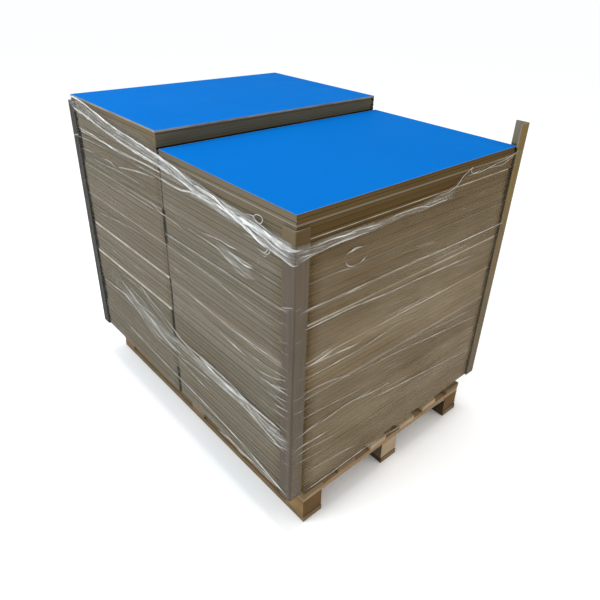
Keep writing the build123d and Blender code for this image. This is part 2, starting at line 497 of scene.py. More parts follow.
# The pallet's wood
pallet = {
    "bevel": 0.0016,
    "roughness": 0.0007,         # how far the sawn faces wander
    "cutEvery": 0.05,            # a ring of points this often along a piece, so that it can wander
    "tones": {                   # light, middle and dark of each kind of board
        "fresh": ((0.47, 0.37, 0.25), (0.35, 0.265, 0.165), (0.16, 0.11, 0.060)),
        "aged": ((0.235, 0.160, 0.082), (0.160, 0.105, 0.050), (0.072, 0.043, 0.019)),
        "red": ((0.37, 0.255, 0.140), (0.25, 0.163, 0.086), (0.100, 0.062, 0.033)),
        "brown": ((0.180, 0.098, 0.028), (0.105, 0.055, 0.015), (0.038, 0.018, 0.005)),
    },
    "kinds": {
        "deck_board_1": "aged", "deck_board_2": "aged", "deck_board_3": "fresh", "deck_board_4": "fresh",
        "deck_board_5": "fresh", "deck_board_6": "aged", "cross_board_1": "red", "cross_board_2": "aged",
        "cross_board_3": "aged", "runner_1": "aged", "runner_2": "aged", "runner_3": "aged",
        "block_1": "brown", "block_2": "aged", "block_3": "aged", "block_4": "fresh", "block_7": "brown",
    },
    "otherKinds": ("fresh", "aged", "red"),
    "damp": (0.016, 0.010, 0.005),                   # painted shade below the deck, on the sides that face along X
    "dampFrom": (-0.40, -0.38),
    "dampBelow": (0.100, 0.096),
    "outside": (-0.424, (2.0, 2.4, 3.3)),            # the brown blocks' outer face, paler and cooler: place and shade
}


def woodMaterial(kind, along):
    light, middle, dark = pallet["tones"][kind]
    material, tree, shader = newMaterial(f"pine{kind.capitalize()}{along.upper()}")
    turn = (0, 0, math.radians(-90) if along == "y" else 0)
    place = stretched(coords(tree), (1, 1, 1), turn, (0.31, 0.07, 0.02))
    grain = useGroup(grainGroup, place, Rings=75.0)
    wear = useGroup(wearGroup, place, Size=9.0, Amount=0.6)
    colour = ramp(grain["Grain"], [(0.0, middle), (0.55, light), (1.0, middle)])
    for share in (grain["Fibre"].span(0.5, 0.7) * 0.5, grain["Knot"] * 0.75, wear["Dust"] * 0.45):
        colour = mixed(share, colour, dark)
    # painted shade: below the deck, the sides that face along X are darkened where shade falls under the
    # pallet
    x, _, z = split(coords(tree))
    facing = normals(tree)
    damp = abs(facing[0]).span(0.5, 0.8) * x.span(*pallet["dampFrom"]) * z.span(*pallet["dampBelow"])
    colour = mixed(damp * 0.75, colour, pallet["damp"])
    if kind == "brown":
        start, shade = pallet["outside"]
        outside = facing[0].span(-0.5, -0.8) * x.span(start, start - 0.001)
        colour = shaded(colour, mixed(outside, (1, 1, 1), shade))
    plug(shader, {
        "Base Color": colour,
        "Roughness": grain["Fibre"].span(0.3, 0.7, 0.70, 0.92),
        "Specular IOR Level": 0.25,
        "Normal": bump(grain["Fibre"] * 0.7 + grain["Grain"] * 0.3, 0.6, 0.0012),
    })
    return material


def sawnPiece(nodeName, along, seed):
    # a copy of the frame's solid with worn edges and slightly uneven sawn faces
    low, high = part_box(nodeName)
    size = high - low
    deselectAll()
    bpy.ops.mesh.primitive_cube_add(size=1, location=(low + high) / 2, scale=size)
    piece = bpy.context.object
    piece.name = nodeName + "_sawn"
    bpy.ops.object.transform_apply(location=True, rotation=False, scale=True)
    bpy.ops.object.mode_set(mode="EDIT")
    bpy.ops.mesh.select_all(action="SELECT")
    bpy.ops.mesh.bevel(offset=pallet["bevel"], segments=2, profile=0.6, affect="EDGES")
    bpy.ops.mesh.select_all(action="SELECT")
    bpy.ops.object.mode_set(mode="OBJECT")
    # only the long edges are cut
    axis = "xyz".index(along)
    mesh = piece.data
    for edge in mesh.edges:
        a, b = (mesh.vertices[i].co for i in edge.vertices)
        edge.select = abs(a[axis] - b[axis]) > 0.5 * size[axis]
    for face in mesh.polygons:
        face.select = False
    bpy.ops.object.mode_set(mode="EDIT")
    bpy.ops.mesh.select_mode(type="EDGE")
    bpy.ops.mesh.subdivide(number_cuts=max(2, min(24, int(max(size) / pallet["cutEvery"]))))
    bpy.ops.object.mode_set(mode="OBJECT")
    chance = random.Random(seed)
    phases = [chance.uniform(0, 6.28) for _ in range(6)]
    for vertex in mesh.vertices:
        co = vertex.co
        for i in range(3):
            if i != axis:
                wander = math.sin(co[axis] * 9 + phases[i]) + 0.6 * math.sin(co[axis] * 31 + phases[i + 3])
                inward = -1 if co[i] > (low[i] + high[i]) / 2 else 1
                co[i] += inward * pallet["roughness"] * (0.8 + 0.5 * wander) * 0.5
    bpy.ops.object.shade_smooth_by_angle(angle=math.radians(35))
    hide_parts(nodeName)
    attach(piece, "root")
    return piece


woodFinishes = {}
timbers = [name for name in sorted(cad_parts) if name.startswith(("deck", "cross", "runner", "block"))]
for seed, nodeName in enumerate(timbers):
    kind = pallet["kinds"].get(nodeName, pallet["otherKinds"][seed % 3])
    along = "x" if nodeName.startswith("cross") else "y"
    piece = sawnPiece(nodeName, along, seed)
    if (kind, along) not in woodFinishes:
        woodFinishes[kind, along] = woodMaterial(kind, along)
    piece.data.materials.clear()
    piece.data.materials.append(woodFinishes[kind, along])
print("pallet built")

# The cardboard corner posts
post = {
    "light": (0.112, 0.086, 0.060),
    "dark": (0.062, 0.047, 0.033),
    "worn": (0.18, 0.150, 0.110),
    # painted shade on the legs' cut edges and inner faces
    "inside": (0.018, 0.013, 0.009),
    "tints": {                   # each post's own shade
        "left_post": (0.34, 0.37, 0.39),
        "front_post": (0.98, 0.96, 0.94),
        "right_post": (1.68, 1.44, 0.52),
        "back_post": (1.00, 0.92, 0.80),
    },
    "feet": {"right_post": (1.05, 1.00, 0.72)},      # shade lower down, where it differs
    "scuffed": (0.88, 0.80, 0.60),                   # the front post's bare top, beside the boards' shade
    "feetTo": (0.30, 0.85),      # where the feet's shade goes over into the post's own
    "bareFrom": (0.958, 0.968),  # where the front post comes out of the film
    "clear": 1.035,              # above this the inner faces are out in the light, so they are painted lighter
    "outInLight": (0.30, 0.28, 0.24),
    "ends": ((0.14, 0.10, 0.065), (0.36, 0.30, 0.21)),     # the pressed layers on the cut ends
}


def postMaterial(name):
    material, tree, shader = newMaterial(name + "Cardboard")
    place = coords(tree)
    x, y, z = split(place)
    facing = normals(tree)
    fibres = noise(place, (170, 170, 2.5), 1.5, 0.5)
    patches = noise(place, (16, 16, 5), 4.0, 0.6)
    wear = useGroup(wearGroup, place, Size=14.0, Amount=0.5)
    tone = (fibres * 0.45 + patches * 0.55).span(0.32, 0.68)
    colour = ramp(tone, [(0.0, post["dark"]), (1.0, post["light"])])
    colour = mixed(wear["Wear"] * 0.5, colour, post["worn"])
    tint = post["tints"][name]
    colour = shaded(colour, mixed(z.span(*post["feetTo"]), post["feet"].get(name, tint), tint))
    # painted shade darkens the legs' cut edges and inner faces, and painted light makes them pale where they
    # stand clear of the boards
    towards = [facing[k] * axis.math("SIGN") for k, axis in enumerate((x, y))]
    isInside = towards[0].math("MINIMUM", towards[1]).below(-0.5)
    covered = z.span(post["clear"] - 0.004, post["clear"] + 0.004, 0.9, 0.0)
    inside = mixed(covered, mixed(0.5, colour, post["outInLight"]), post["inside"])
    colour = mixed(isInside, colour, inside)
    if name == "front_post":
        # above the film the front post is scuffed to the boards' own shades
        bare = shaded(useGroup(sideGroup, place)["Colour"], post["scuffed"])
        colour = mixed(z.span(*post["bareFrom"]), colour, bare)
    layers = noise(place, (900, 900, 1), 2.0, 0.6)
    ends = mixed(layers.span(0.4, 0.6), *post["ends"])
    plug(shader, {
        "Base Color": mixed(abs(facing[2]).above(0.8), colour, ends),
        "Roughness": patches.span(0.3, 0.7, 0.62, 0.80),
        "Specular IOR Level": 0.25,
        "Normal": bump(fibres + patches, 0.15, 0.0004),
    })
    return material


for nodeName in post["tints"]:
    dress(nodeName, postMaterial(nodeName))
print("posts dressed")

# The stretch film, metres
film = {
    "standOff": 0.0090,          # the film outside the boards' nominal faces
    "upperLift": 0.0006,         # the upper turn outside the lower one
    "cornerRadius": 0.0085,
    "legLength": 0.0375,         # where the film leaves the post's leg, from the corner
    "bottom": 0.1315,
    "lowerTop": 0.778,           # upper edge of the lower turn
    "upperBottom": 0.738,
    "fadeIn": (0.760, 0.782),    # where the upper turn comes to show over the lower one
    "visibleStep": 0.0055,       # spacing of the net on the sides in the photo
    "hiddenStep": 0.0075,
    "rowStep": 0.0060,
    "upperRows": 45,
    "sideVeil": {"left": 0.50, "front": 1.15, "right": 0.8, "back": 1.0},    # how milky each side is
    # the upper edge: (share of the side, height)
    "upperEdge": {
        "left": [
            (0.0, 1.080), (0.04, 1.085), (0.12, 1.085), (0.19, 1.080), (0.27, 1.075), (0.35, 1.072),
            (0.43, 1.068), (0.48, 1.056), (0.535, 1.036), (0.59, 1.026), (0.64, 1.017), (0.69, 1.006),
            (0.74, 0.997), (0.78, 0.988), (0.83, 0.984), (0.90, 0.978), (0.96, 0.973), (1.0, 0.972),
        ],
        "front": [
            (0.0, 0.972), (0.03, 0.966), (0.12, 0.966), (0.30, 0.961), (0.47, 0.964), (0.55, 0.972),
            (0.62, 0.985), (0.70, 1.010), (0.80, 1.016), (0.90, 1.026), (1.0, 1.028),
        ],
        "right": [(0.0, 1.028), (0.2, 1.016), (0.45, 1.020), (0.7, 1.036), (1.0, 1.048)],
        "back": [(0.0, 1.048), (0.25, 1.056), (0.5, 1.049), (0.75, 1.066), (1.0, 1.076)],
    },
    "alongX": (0.300, 0.305, 0.280),                 # the film's colour on the sides that face along X, cooler as painted light
    "alongY": (0.48, 0.385, 0.255),                  # and on the short sides, warmer as painted light
    "veil": (0.13, 0.28),        # least and most milky, as alpha
    # the streaks: whiter film in the creases, partly a painted highlight
    "streak": 0.26,
    "streakColour": (0.95, 0.95, 0.93),
    "pulled": (6.8, -4.0),       # degrees that the fine and the broad streaks slope
    "ior": 1.48,
    "sag": 0.0016,               # towards the boards between the posts
    "tension": 0.0011,           # depth of the tension folds
    "calmFrom": (0.046, 0.12),   # they start this far from a corner, and are full so much further
    "clearer": (0.50, 0.70, 0.25),     # the short sides' veil thins by a share, from a height, over so much
}

# Each side runs from its first corner to its second
sides = ("left", "front", "right", "back")           # left: X-, front: Y-, right: X+, back: Y+
sideEnds = {side: (side, sides[(i + 1) % 4]) for i, side in enumerate(sides)}
sideNormals = {"left": (-1, 0), "front": (0, -1), "right": (1, 0), "back": (0, 1)}


def sideLength(side):
    return 2 * ((load["halfLength"] if side in ("left", "right") else load["halfWidth"]) + film["standOff"])


def cornerAt(name, z, out):
    # the load's corner at a height, with the lean of its post, "out" metres outside the boards
    signs = {"left": (-1, 1), "front": (-1, -1), "right": (1, -1), "back": (1, 1)}[name]
    x = signs[0] * (load["halfWidth"] + out)
    y = signs[1] * (load["halfLength"] + out)
    if name in load["postHeights"]:
        share = max(0.0, (z - load["deckTop"] - 0.002) / (load["postHeights"][name] - 0.002))
        if name == "left":
            y += load["leftLean"] * share
        else:
            x += load["rightLean"] * share
    return np.array((x, y))


def onSide(side, share, z, lift=0.0):
    # a place on one side of the film: share 0 to 1 between its corners
    a, b = (cornerAt(name, z, film["standOff"]) for name in sideEnds[side])
    x, y = a + (b - a) * share + np.array(sideNormals[side]) * lift
    # keep the side's own plane where a corner leans out along the other axis
    nx, ny = sideNormals[side]
    flat = (load["halfWidth"] if nx else load["halfLength"]) + film["standOff"] + lift
    lean = abs((a if share < 0.5 else b)[0 if nx else 1]) - flat + lift
    near = min(share, 1 - share) * np.linalg.norm(b - a)
    if lean > 0 and near < film["legLength"]:
        if nx:
            x = nx * (flat + lean)
        else:
            y = ny * (flat + lean)
    return float(x), float(y), float(z)


def onTurn(side, angle, z, out, lift=0.0):
    # a place on the rounded corner after a side, at an angle from that side's own direction
    first, second = (np.array(sideNormals[name]) for name in sideEnds[side])
    centre = cornerAt(sideEnds[side][1], z, out) - film["cornerRadius"] * (first + second)
    x, y = centre + (film["cornerRadius"] + lift) * (math.cos(angle) * first + math.sin(angle) * second)
    return float(x), float(y), float(z)


def ringColumns():
    # each column: side, place on it or on the corner after it, whether on that corner, and the way round
    columns = []
    walked = 0.0
    leg, radius = film["legLength"], film["cornerRadius"]
    for side in sides:
        length = sideLength(side)
        step = film["visibleStep"] if side in ("left", "front") else film["hiddenStep"]
        legs = np.array([radius, 0.016, 0.026])
        middle = np.linspace(leg, length - leg, int((length - 2 * leg) / step) + 1)
        for distance in (*legs, *middle, *(length - legs[::-1])):
            columns.append((side, float(distance), False, walked + float(distance)))
        for part in (0.0, 1.0):
            columns.append((side, part, True, walked + length - radius * 0.35 + part * radius * 0.7))
        walked += length
    return [*columns, (*columns[0][:3], walked + columns[0][1])]


def ripple(u, v, seed, count, longest, shortest, slope):
    # gentle tension folds: long along the pull, short across it, between -1 and 1
    chance = np.random.default_rng(seed)
    total = np.zeros_like(u)
    for _ in range(count):
        across = 2 * math.pi / math.exp(chance.uniform(math.log(shortest), math.log(longest)))
        along = across * chance.uniform(0.01, 0.06)
        tilt = slope + chance.normal(0, 0.05)
        along *= chance.choice((-1, 1))
        total += np.sin(across * (v + tilt * u) + along * u + chance.uniform(0, 6.28))
    return total / math.sqrt(count)


def gridPiece(name, places, uvs, attributes, weld=None):
    # a grid primitive laid along the given places, [row][column], with a value for each point
    rows, columns = places.shape[:2]
    deselectAll()
    bpy.ops.mesh.primitive_grid_add(x_subdivisions=columns - 1, y_subdivisions=rows - 1, size=1)
    piece = bpy.context.object
    piece.name = name
    mesh = piece.data
    start = np.array([v.co for v in mesh.vertices])
    i = np.rint((start[:, 0] + 0.5) * (columns - 1)).astype(int)
    j = np.rint((start[:, 1] + 0.5) * (rows - 1)).astype(int)
    mesh.vertices.foreach_set("co", places[j, i].astype(np.float32).ravel())
    loops = np.zeros(len(mesh.loops), int)
    mesh.loops.foreach_get("vertex_index", loops)
    mesh.uv_layers.active.data.foreach_set("uv", uvs[j, i][loops].astype(np.float32).ravel())
    for label, values in attributes.items():
        points = mesh.attributes.new(label, "FLOAT", "POINT").data
        points.foreach_set("value", values[j, i].astype(np.float32))
    mesh.update()
    bpy.ops.object.mode_set(mode="EDIT")
    bpy.ops.mesh.select_all(action="SELECT")
    if weld:
        bpy.ops.mesh.remove_doubles(threshold=weld)
    bpy.ops.mesh.normals_make_consistent(inside=False)
    bpy.ops.object.mode_set(mode="OBJECT")
    bpy.ops.object.shade_smooth()
    return piece


def filmTurn(name, out, rows, lowEdge, highEdge, seed, fadeIn=None):
    columns = ringColumns()
    grid = (rows + 1, len(columns))
    places, uvs, outwards = np.zeros((*grid, 3)), np.zeros((*grid, 2)), np.zeros((*grid, 2))
    calm = np.zeros(grid)
    clear, milk, isShort = np.ones(len(columns)), np.zeros(len(columns)), np.zeros(len(columns))
    for i, (side, distance, turning, around) in enumerate(columns):
        length = sideLength(side)
        share = 1.0 if turning else distance / length
        low, high = lowEdge(side, share), highEdge(side, share)
        for j in range(rows + 1):
            z = low + (high - low) * j / rows
            if turning:
                places[j, i] = onTurn(side, math.radians(30 + 30 * distance), z, out)
            else:
                places[j, i] = onSide(side, share, z, out - film["standOff"])
            uvs[j, i] = (around, z)
        milk[i] = film["sideVeil"][side]
        isShort[i] = side in ("front", "back")
        if not turning:
            near = min(distance, length - distance)
            calm[:, i] = np.clip((near - film["calmFrom"][0]) / film["calmFrom"][1], 0, 1)
            outwards[:, i] = sideNormals[side]
            # clear where it bridges the gap between the stacks and the crevices beside the posts
            gapAt = 1.0 if isShort[i] else abs(distance - length / 2)
            clear[i] = min(1.0, 0.15 + gapAt / 0.020, 0.30 + abs(near - 0.050) / 0.012)
    # tension folds and a slight sag towards the boards between the posts
    folds = ripple(uvs[..., 0], uvs[..., 1], seed, 26, 0.30, 0.035, 0.12)
    places[..., :2] += outwards * (calm * (-film["sag"] + film["tension"] * folds))[..., None]
    # less milky where it is tight over a post, and fading in where it lies on the other turn
    height = places[..., 2]
    fade = (0.25 + 0.75 * np.clip(calm * 2.5, 0, 1)) * clear
    if fadeIn:
        fade = fade * np.clip((height - fadeIn[0]) / (fadeIn[1] - fadeIn[0]), 0, 1)
    share, start, over = film["clearer"]
    veil = milk * (1 - share * isShort * np.clip((height - start) / over, 0, 1))
    return gridPiece(name, places, uvs, {"fade": fade, "veil": veil}, 0.00005)


def wavy(value, share, side, size, seed):
    phase = seed + 2.1 * sides.index(side)
    wave = math.sin(share * 9 + phase) + 0.5 * math.sin(share * 23 + 2 * phase)
    return value + size * wave * min(1, 8 * min(share, 1 - share))


def edgeHeight(side, share):
    return float(np.interp(share, *zip(*film["upperEdge"][side]))) - 0.004


lowerTurn = filmTurn(
    "film_lower", film["standOff"], int((film["lowerTop"] - film["bottom"]) / film["rowStep"]),
    lambda side, share: wavy(film["bottom"] + 0.002, share, side, 0.0012, 1.0),
    lambda side, share: wavy(film["lowerTop"], share, side, 0.004, 2.0), 11,
)
upperTurn = filmTurn(
    "film_upper", film["standOff"] + film["upperLift"], film["upperRows"],
    lambda side, share: wavy(film["upperBottom"], share, side, 0.006, 3.0), edgeHeight, 12, film["fadeIn"],
)


def filmMaterial():
    material, tree, shader = newMaterial("clearFilm")
    place = coords(tree, "UV")
    slope, counterSlope = (math.radians(angle) for angle in film["pulled"])
    pulled = stretched(place, (1, 1, 1), (0, 0, slope))
    counter = stretched(place, (1, 1, 1), (0, 0, counterSlope), (0.3, 0.1, 0))
    fine = useGroup(streakGroup, pulled, Along=4.0, Across=230.0, From=0.64, To=0.80)
    broad = useGroup(streakGroup, counter, Along=2.2, Across=70.0, From=0.66, To=0.84)
    patches = noise(place, (3, 9, 1), 4.0, 0.6)
    # whiter streaks of film along the creases, partly a painted highlight
    streaks = fine["Mask"].math("MAXIMUM", broad["Mask"] * 0.6) * noise(place, 5.0, 3.0, 0.6).span(0.42, 0.62)
    veil = patches.span(0.3, 0.7, *film["veil"]) * attribute(tree, "veil")
    alpha = veil.math("ADD", streaks * film["streak"], clamp=True) * attribute(tree, "fade")
    # the film's milky colour takes a painted light by side: cooler along X, warmer on the short sides
    milk = mixed(abs(normals(tree)[0]).span(0.3, 0.7), film["alongY"], film["alongX"])
    plug(shader, {
        "Alpha": alpha,
        "Base Color": mixed(streaks, milk, film["streakColour"]),
        "Roughness": patches.span(0.3, 0.7, 0.18, 0.36),
        "Normal": bump(fine["Height"] + broad["Height"], 0.5, 0.0015),
        "IOR": film["ior"],
    })
    return material


def finishFilm(piece, material):
    piece.data.materials.clear()
    piece.data.materials.append(material)
    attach(piece, "root")


clearFilm = filmMaterial()
for turn in (lowerTurn, upperTurn):
    finishFilm(turn, clearFilm)
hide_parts("stretch_film")
print("film wrapped")

# Folds, bunched edge and loose loops of the film. Places on it are (s, z): s runs round the load from the
# front corner, negative along the long side.
wayRound = sum(sideLength(side) for side in sides)


def wrapPlace(s, z, lift):
    s = s % wayRound
    for side in ("front", "right", "back", "left"):
        length = sideLength(side)
        if s < length:
            break
        s -= length
    radius = film["cornerRadius"]
    near = min(s, length - s)
    lift += film["upperLift"]
    if near >= radius:
        return onSide(side, s / length, z, lift)
    if s > length / 2:
        return onTurn(side, math.radians(45) * (1 - near / radius), z, film["standOff"], lift)
    before = sides[sides.index(side) - 1]
    return onTurn(before, math.radians(45) * (1 + near / radius), z, film["standOff"], lift)


def pairs(numbers):
    # millimetres, s and z by turns, as places in metres
    return [(s / 1000, z / 1000) for s, z in zip(numbers[::2], numbers[1::2])]


def smoothLine(points, count):
    # an even run of places along a smooth curve through the points, and its length
    pts = np.array(points, float)
    pts = np.vstack((2 * pts[0] - pts[1], pts, 2 * pts[-1] - pts[-2]))
    dense = []
    for a, b, c, d in zip(pts, pts[1:], pts[2:], pts[3:]):
        for t in np.linspace(0, 1, 24, endpoint=False):
            curve = 2 * b + (c - a) * t + (2 * a - 5 * b + 4 * c - d) * t * t + (3 * b - a - 3 * c + d) * t**3
            dense.append(0.5 * curve)
    dense = np.array([*dense, pts[-2]])
    walked = np.concatenate(([0], np.cumsum(np.linalg.norm(np.diff(dense[:, :2], axis=0), axis=1))))
    at = np.linspace(0, walked[-1], count)
    return np.array([np.interp(at, walked, dense[:, k]) for k in range(dense.shape[1])]).T, walked[-1]


def acrossLine(line):
    along = np.gradient(line, axis=0)
    along /= np.linalg.norm(along, axis=1)[:, None]
    return np.array((-along[:, 1], along[:, 0])).T


def roughLength(points):
    return sum(math.dist(a, b) for a, b in zip(points, points[1:]))


def towardsEnds(t, length, reach):
    # how far from the nearer end, up to 1 at the given reach
    return np.minimum(t, 1 - t) * length / reach


def varying(t, values):
    # evenly spaced values, read between at t
    return np.interp(t, np.linspace(0, 1, len(values)), values)


def foldRib(name, halfWidth, milk, points, seed, lift=0.0):
    # one pinched fold: a low rib that fades out at its sides and ends
    chance = np.random.default_rng(seed)
    count = max(6, int(roughLength(points) / 0.012))
    line, length = smoothLine(points, count)
    across = acrossLine(line)
    t = np.linspace(0, 1, count)
    waver = varying(t, chance.uniform(0.65, 1.25, 7))
    ends = np.clip(towardsEnds(t, length, 0.035), 0, 1) ** 0.7
    width = 1.7 * halfWidth * (0.45 + 0.55 * ends) * waver
    height = min(0.0035, halfWidth * 0.9) * ends
    steps = np.linspace(-1, 1, 7)
    bulge = (0.0, 0.25, 0.75, 1.0, 0.70, 0.2, 0.0)
    base = lift + folds["above"]
    places = np.array([
        [wrapPlace(*(line[k] + across[k] * a * width[k]), base + b * height[k]) for k in range(count)]
        for a, b in zip(steps, bulge)
    ])
    shift = chance.uniform(0, 40)
    uvs = np.array([[(shift + k / (count - 1) * length, 0.5 + 0.5 * a) for k in range(count)] for a in steps])
    mask = varying(t, chance.uniform(0.55, 1.0, 9))
    fades = np.array([(1 - abs(a)) ** 0.5 * ends * mask * min(1.0, 1.25 * milk) for a in steps])
    return gridPiece(name, places, uvs, {"fade": fades})


def bunchedStrand(name, radius, milk, swing, turns, points, seed):
    # film pulled into a cord-like strand: a crinkled tube that winds round its line
    chance = np.random.default_rng(seed)
    count = max(24, int(smoothLine(points, 12)[1] / 0.005))
    line, length = smoothLine(points, count)
    across = acrossLine(line)
    t = np.linspace(0, 1, count)
    knots = max(5, int(length / 0.05))
    thick = varying(t, chance.uniform(0.6, 1.35, knots))
    wander = varying(t, chance.normal(0, 0.35, knots))
    ends = np.clip(towardsEnds(t, length, 0.04), 0.15, 1)
    around = 11
    flat, crease = bunch["flat"], bunch["crease"]
    crinkle = chance.uniform(1 - crease, 1 + crease, (around - 1, max(4, int(length / 0.018))))
    places = np.zeros((around, count, 3))
    for k in range(count):
        phase = 2 * math.pi * (turns * length * t[k]) + wander[k]
        middle = line[k] + across[k] * swing * (math.sin(phase) + 0.6 * wander[k])
        out = radius * flat + swing * 0.5 * (1 + math.cos(phase))
        size = radius * thick[k] * ends[k]
        for j in range(around):
            angle = 2 * math.pi * j / (around - 1) + phase * 0.5
            rough = varying(t[k], crinkle[j % (around - 1)])
            side, lift = size * rough * math.cos(angle), size * rough * flat * math.sin(angle)
            places[j, k] = wrapPlace(*(middle + across[k] * side), max(folds["above"] / 2, out + lift))
    shift = chance.uniform(0, 40)
    uvs = np.array([[(shift + t[k] * length, j / (around - 1)) for k in range(count)] for j in range(around)])
    fades = np.array([milk * np.clip(towardsEnds(t, length, 0.03), 0, 1) for _ in range(around)])
    return gridPiece(name, places, uvs, {"fade": fades}, 0.00001)


def gatheredBand(name, pleats, depth, milk, upper, lower, seed):
    # a strip of film drawn together into pleats that run along it; milk is by share of the length
    chance = np.random.default_rng(seed)
    count = max(12, int(roughLength(upper) / 0.006))
    top, length = smoothLine(upper, count)
    low, _ = smoothLine(lower, count)
    rows = 6 * pleats + 1
    t = np.linspace(0, 1, count)
    knots = max(5, int(length / 0.07))
    drift = varying(t, chance.normal(0, 0.07, knots))
    second = varying(t, chance.normal(0, 0.10, knots))
    wide = np.linalg.norm(top - low, axis=1)
    places, uvs, fades = np.zeros((rows, count, 3)), np.zeros((rows, count, 2)), np.zeros((rows, count))
    level = np.interp(t, *zip(*milk)) * np.clip(towardsEnds(t, length, 0.03), 0, 1)
    phases = chance.uniform(0, 6.28, 3)
    for j in range(rows):
        a = j / (rows - 1)
        edge = min(1.0, 5 * min(a, 1 - a))
        wave = 0.55 * np.sin(2 * math.pi * pleats * (a + drift) + phases[0])
        wave += 0.30 * np.sin(2 * math.pi * pleats * 1.7 * (a + second) + phases[1])
        wave += 0.15 * np.sin(2 * math.pi * 9 * t * length + 5 * a + phases[2])
        crest = 0.5 + 0.5 * wave
        fades[j] = level * edge * (0.22 + 0.78 * np.clip(crest, 0, 1) ** 2.5)
        for k in range(count):
            place = top[k] + (low[k] - top[k]) * a
            places[j, k] = wrapPlace(*place, folds["above"] + depth * edge * max(0.0, float(crest[k])))
            uvs[j, k] = (t[k] * length, a * wide[k] / 0.02)
    return gridPiece(name, places, uvs, {"fade": fades})


def joinAs(name, parts):
    deselectAll()
    for part in parts:
        part.select_set(True)
    bpy.context.view_layer.objects.active = parts[0]
    bpy.ops.object.join()
    piece = bpy.context.object
    piece.name = name
    piece.data.name = name
    return piece


